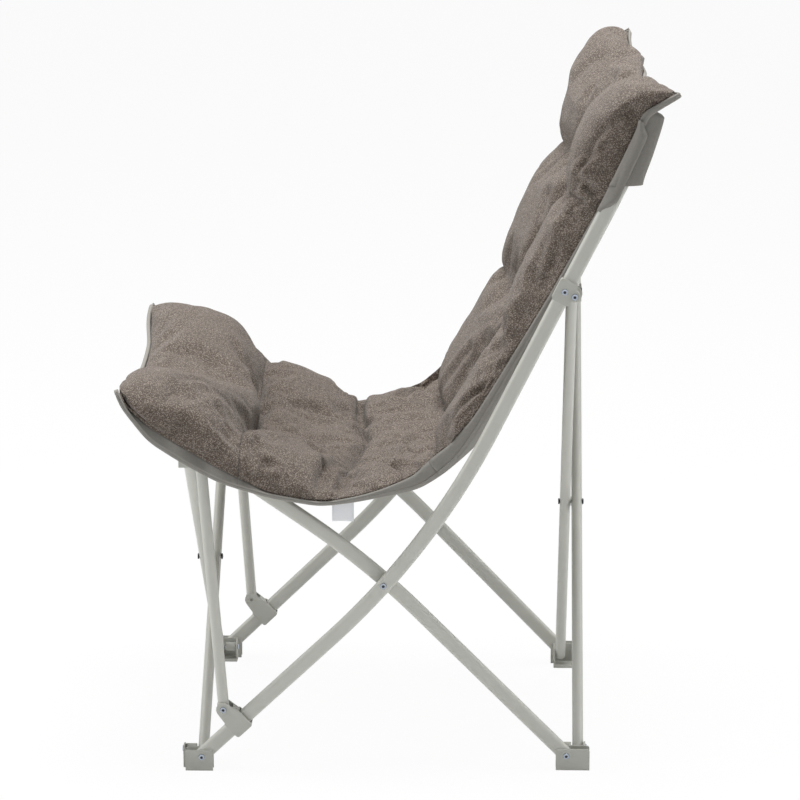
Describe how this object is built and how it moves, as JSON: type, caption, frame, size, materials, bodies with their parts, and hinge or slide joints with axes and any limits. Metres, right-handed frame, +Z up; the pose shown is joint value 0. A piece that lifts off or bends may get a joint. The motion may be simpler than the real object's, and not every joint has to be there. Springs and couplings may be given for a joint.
{
  "type": "folding saucer chair",
  "caption": "Folding saucer lounge chair: two crossed rails each side, X braces front and rear, sliding struts, and a quilted padded sling hung from the rail tips by pockets.",
  "frame": {"origin": "on the floor under the middle of the outline box", "axes": "+Z up, the sitter faces -Y, +X is the sitter's left"},
  "size_m": [0.6862, 0.7842, 1.0149],
  "materials": {
    "frame_paint": "light warm grey powder coat",
    "plastic": "fine matte moulded texture, light warm grey",
    "bolt": "zinc-plated steel",
    "pad_cloth": "taupe bouclé knit with light and dark flecks",
    "pocket_cloth": "the same bouclé over a woven backing",
    "tag": "plain white woven tape, no lettering"
  },
  "bodies": {
    "back_rail_left": {"back_rail_left": "frame_paint", "side_pivot_bolt_left": "bolt", "side_pivot_washer_left": "bolt", "back_bracket_left": "plastic", "back_hinge_bolt_left": "bolt", "back_pocket_left": "pocket_cloth", "back_pad": "pad_cloth"},
    "seat_rail_left": {"seat_rail_left": "frame_paint", "front_bracket_left": "plastic", "front_hinge_bolt_left": "bolt", "strut_top_bolt_left": "bolt", "rear_foot_bolt_left": "bolt", "front_pocket_left": "pocket_cloth", "front_roll": "pad_cloth"},
    "front_foot_left": {"front_foot_left": "plastic", "front_foot_bolt_left": "bolt", "front_brace_bolt_left": "bolt", "front_brace_spacer_left": "plastic"},
    "rear_foot_left": {"rear_foot_left": "plastic", "rear_brace_bolt_left": "bolt", "rear_brace_spacer_left": "plastic"},
    "front_brace_near_foot": {"front_brace_near_foot": "frame_paint", "front_cross_bolt": "bolt", "front_cross_washer": "bolt"},
    "front_brace_far_foot": {"front_brace_far_foot": "frame_paint"},
    "rear_brace_near_foot": {"rear_brace_near_foot": "frame_paint", "rear_cross_bolt": "bolt", "rear_cross_washer": "bolt"},
    "rear_brace_far_foot": {"rear_brace_far_foot": "frame_paint"},
    "front_knuckle_left": {"front_knuckle_left": "plastic"},
    "back_knuckle_left": {"back_knuckle_left": "plastic"},
    "strut_left": {"strut_left": "frame_paint"},
    "slider_left": {"slider_left": "plastic", "slider_bolt_left": "bolt"},
    "seat_pad": {"seat_pad": "pad_cloth", "blank_tag": "tag"},
    "back_rail_right": {"back_rail_right": "frame_paint", "side_pivot_bolt_right": "bolt", "side_pivot_washer_right": "bolt", "back_bracket_right": "plastic", "back_hinge_bolt_right": "bolt", "back_pocket_right": "pocket_cloth"},
    "seat_rail_right": {"seat_rail_right": "frame_paint", "front_bracket_right": "plastic", "front_hinge_bolt_right": "bolt", "strut_top_bolt_right": "bolt", "rear_foot_bolt_right": "bolt", "front_pocket_right": "pocket_cloth"},
    "front_foot_right": {"front_foot_right": "plastic", "front_foot_bolt_right": "bolt", "front_brace_bolt_right": "bolt", "front_brace_spacer_right": "plastic"},
    "rear_foot_right": {"rear_foot_right": "plastic", "rear_brace_bolt_right": "bolt"},
    "front_knuckle_right": {"front_knuckle_right": "plastic"},
    "back_knuckle_right": {"back_knuckle_right": "plastic"},
    "strut_right": {"strut_right": "frame_paint"},
    "slider_right": {"slider_right": "plastic", "slider_bolt_right": "bolt"}
  },
  "joints": [
    {"name": "fold", "type": "hinge", "parent": "back_rail_left", "child": "seat_rail_left", "pos_m": [0.29519, -0.01589, 0.2851], "axis": [-0.9986, 0, 0.0532], "range_deg": [0, 54], "deforming": ["front_roll", "seat_pad", "back_pad"]},
    {"name": "front_foot_left_turn", "type": "hinge", "parent": "back_rail_left", "child": "front_foot_left", "pos_m": [0.28117, -0.28089, 0.02197], "axis": [-0.9986, 0, 0.0532], "range_deg": [0, 23.44]},
    {"name": "front_brace_left_turn", "type": "hinge", "parent": "front_foot_left", "child": "front_brace_near_foot", "pos_m": [0.25521, -0.28089, 0.02335], "axis": [0, 1, 0], "range_deg": [0, 33.08]},
    {"name": "front_cross_turn", "type": "hinge", "parent": "front_brace_near_foot", "child": "front_brace_far_foot", "pos_m": [0, -0.28089, 0.24436], "axis": [0, -1, 0], "range_deg": [0, 63.23]},
    {"name": "front_brace_right_turn", "type": "hinge", "parent": "front_brace_far_foot", "child": "front_foot_right", "pos_m": [-0.25521, -0.29839, 0.02335], "axis": [0, 1, 0], "range_deg": [0, 33.17]},
    {"name": "front_foot_right_turn", "type": "hinge", "parent": "front_foot_right", "child": "back_rail_right", "pos_m": [-0.28117, -0.28089, 0.02197], "axis": [0.9986, 0, 0.0532], "range_deg": [0, 23.44]},
    {"name": "side_pivot_right", "type": "hinge", "parent": "back_rail_right", "child": "seat_rail_right", "pos_m": [-0.29519, -0.01589, 0.2851], "axis": [-0.9986, 0, -0.0532], "range_deg": [0, 54.02]},
    {"name": "rear_foot_left_turn", "type": "hinge", "parent": "seat_rail_left", "child": "rear_foot_left", "pos_m": [0.26419, 0.24911, 0.02287], "axis": [0.9986, 0, -0.0532], "range_deg": [0, 32.09]},
    {"name": "rear_foot_right_turn", "type": "hinge", "parent": "seat_rail_right", "child": "rear_foot_right", "pos_m": [-0.26419, 0.24911, 0.02287], "axis": [0.9986, 0, 0.0532], "range_deg": [0, 32.09]},
    {"name": "rear_brace_left_turn", "type": "hinge", "parent": "rear_foot_left", "child": "rear_brace_near_foot", "pos_m": [0.23623, 0.26661, 0.02436], "axis": [0, 1, 0], "range_deg": [0, 26.47]},
    {"name": "rear_cross_turn", "type": "hinge", "parent": "rear_brace_near_foot", "child": "rear_brace_far_foot", "pos_m": [0, 0.26661, 0.33476], "axis": [0, -1, 0], "range_deg": [0, 49.5]},
    {"name": "front_knuckle_left_turn", "type": "hinge", "parent": "seat_rail_left", "child": "front_knuckle_left", "pos_m": [0.28755, -0.28964, 0.46125], "axis": [0.9986, 0, -0.0532], "range_deg": [0, 30.6]},
    {"name": "front_knuckle_right_turn", "type": "hinge", "parent": "seat_rail_right", "child": "front_knuckle_right", "pos_m": [-0.28755, -0.28964, 0.46125], "axis": [0.9986, 0, 0.0532], "range_deg": [0, 30.6]},
    {"name": "back_knuckle_left_turn", "type": "hinge", "parent": "back_rail_left", "child": "back_knuckle_left", "pos_m": [0.31799, 0.25271, 0.71299], "axis": [-0.9986, 0, 0.0532], "range_deg": [0, 21.95]},
    {"name": "back_knuckle_right_turn", "type": "hinge", "parent": "back_rail_right", "child": "back_knuckle_right", "pos_m": [-0.31799, 0.25271, 0.71299], "axis": [-0.9986, 0, -0.0532], "range_deg": [0, 21.95]},
    {"name": "strut_left_turn", "type": "hinge", "parent": "seat_rail_left", "child": "strut_left", "pos_m": [0.3056, -0.27649, 0.48052], "axis": [0.9986, 0, -0.0532], "range_deg": [0, 35.66]},
    {"name": "strut_right_turn", "type": "hinge", "parent": "seat_rail_right", "child": "strut_right", "pos_m": [-0.3056, -0.27649, 0.48052], "axis": [0.9986, 0, 0.0532], "range_deg": [0, 35.66]},
    {"name": "slider_left_slide", "type": "slide", "parent": "back_rail_left", "child": "slider_left", "axis": [0.0368, 0.7218, 0.6912], "range_m": [0, 0.2021]},
    {"name": "slider_right_slide", "type": "slide", "parent": "back_rail_right", "child": "slider_right", "axis": [-0.0368, 0.7218, 0.6912], "range_m": [0, 0.2021]},
    {"name": "seat_crease", "type": "hinge", "parent": "back_rail_left", "child": "seat_pad", "pos_m": [0, 0.06111, 0.45], "axis": [-1, 0, 0], "range_deg": [0, 64.82], "deforming": ["blank_tag"]}
  ],
  "couplings": [
    {"joint": "front_foot_left_turn", "follows": "fold", "ratio": 0.4337},
    {"joint": "front_brace_left_turn", "follows": "fold", "ratio": 0.6122},
    {"joint": "front_cross_turn", "follows": "fold", "ratio": 1.1705},
    {"joint": "front_brace_right_turn", "follows": "fold", "ratio": 0.6139},
    {"joint": "front_foot_right_turn", "follows": "fold", "ratio": 0.4337},
    {"joint": "side_pivot_right", "follows": "fold", "ratio": 1},
    {"joint": "rear_foot_left_turn", "follows": "fold", "ratio": 0.5938},
    {"joint": "rear_foot_right_turn", "follows": "fold", "ratio": 0.5938},
    {"joint": "rear_brace_left_turn", "follows": "fold", "ratio": 0.4898},
    {"joint": "rear_cross_turn", "follows": "fold", "ratio": 0.9163},
    {"joint": "front_knuckle_left_turn", "follows": "fold", "ratio": 0.5663},
    {"joint": "front_knuckle_right_turn", "follows": "fold", "ratio": 0.5663},
    {"joint": "back_knuckle_left_turn", "follows": "fold", "ratio": 0.4062},
    {"joint": "back_knuckle_right_turn", "follows": "fold", "ratio": 0.4062},
    {"joint": "strut_left_turn", "follows": "fold", "ratio": 0.66},
    {"joint": "strut_right_turn", "follows": "fold", "ratio": 0.66},
    {"joint": "slider_left_slide", "follows": "fold", "m_per_rad": 0.2143},
    {"joint": "slider_right_slide", "follows": "fold", "m_per_rad": 0.2143},
    {"joint": "seat_crease", "follows": "fold", "ratio": 1.2}
  ]
}
